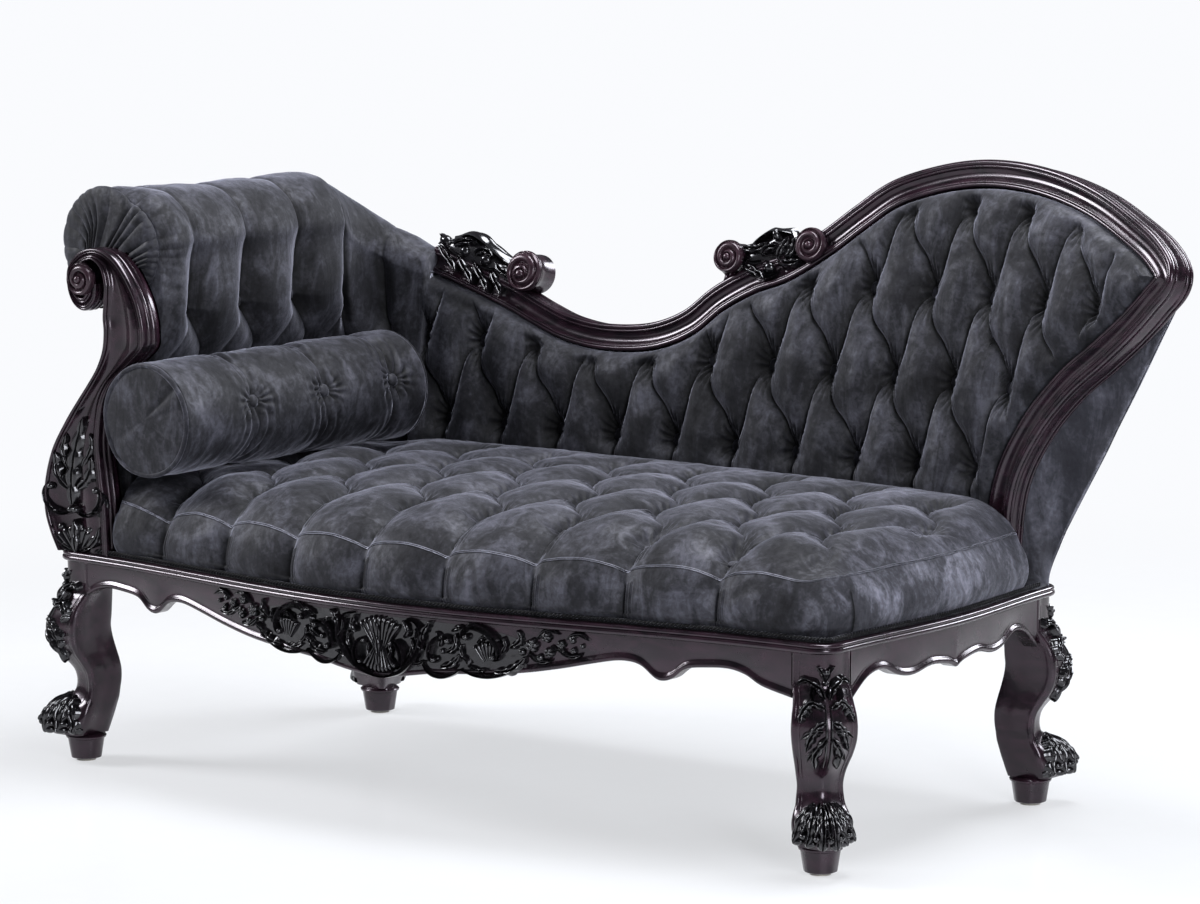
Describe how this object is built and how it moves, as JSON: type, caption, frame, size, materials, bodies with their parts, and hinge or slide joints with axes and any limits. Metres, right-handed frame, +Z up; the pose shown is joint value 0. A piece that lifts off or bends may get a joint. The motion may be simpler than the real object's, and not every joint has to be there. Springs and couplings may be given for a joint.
{
  "type": "fainting couch",
  "caption": "Tufted fainting couch with a rolled arm, a dipping carved crest sweeping up to a raked head, a serpentine apron, cabriole legs and a loose bolster.",
  "frame": {"origin": "on the floor, under the middle of the whole length and depth", "axes": "+X to the raised head end, -Y to the front, +Z up"},
  "size_m": [1.8222, 0.858, 1.0057],
  "materials": {
    "velvet": "charcoal crushed velvet, soft sheen on the pile, darker in the tufts",
    "gimp": "narrow woven braid",
    "show_wood": "ebonised mahogany, high gloss, dark red-brown where it catches the light",
    "carved_wood": "ebonised carved relief, high gloss",
    "inner_wood": "plain sawn hardwood, hidden inside",
    "webbing": "plain woven jute",
    "hessian": "coarse plain weave",
    "dust_cloth": "thin black cloth",
    "steel": "plain wire and screws",
    "glide": "matt"
  },
  "bodies": {
    "couch": {"front_rail": "show_wood", "right_rail": "show_wood", "rear_rail": "show_wood", "left_rail": "show_wood", "seat_moulding": "show_wood", "leg_front_left": "show_wood", "leg_front_right": "show_wood", "leg_rear_right": "show_wood", "leg_rear_left": "show_wood", "leg_toes": "show_wood", "glides": "glide", "knee_carvings": "carved_wood", "foot_carvings": "carved_wood", "apron_carving": "carved_wood", "arm_front_post": "show_wood", "arm_scroll": "show_wood", "arm_post_carving": "carved_wood", "crest_rail": "show_wood", "head_band": "show_wood", "crest_volutes": "show_wood", "crest_carving_left": "carved_wood", "crest_carving_right": "carved_wood", "arm_pad": "velvet", "arm_top_rail": "inner_wood", "shoulder_rail": "inner_wood", "outside_arm_cover": "velvet", "back_pad": "velvet", "outside_back_cover": "velvet", "seat_pad": "velvet", "roll_facing": "velvet", "seat_buttons": "velvet", "back_buttons": "velvet", "arm_buttons": "velvet", "seat_gimp": "gimp", "seat_battens": "inner_wood", "dust_cover": "dust_cloth", "seat_webbing": "webbing", "seat_springs": "steel", "spring_hessian": "hessian", "corner_blocks": "inner_wood", "block_screws": "steel", "back_stiles": "inner_wood", "arm_rear_post": "inner_wood", "arm_lower_rail": "inner_wood"},
    "bolster": {"bolster_pad": "velvet", "bolster_piping": "velvet", "bolster_buttons": "velvet"}
  },
  "joints": [
    {"name": "bolster_lift", "type": "slide", "parent": "couch", "child": "bolster", "axis": [0.9135, 0, 0.4067], "range_m": [0, 0.45]}
  ]
}
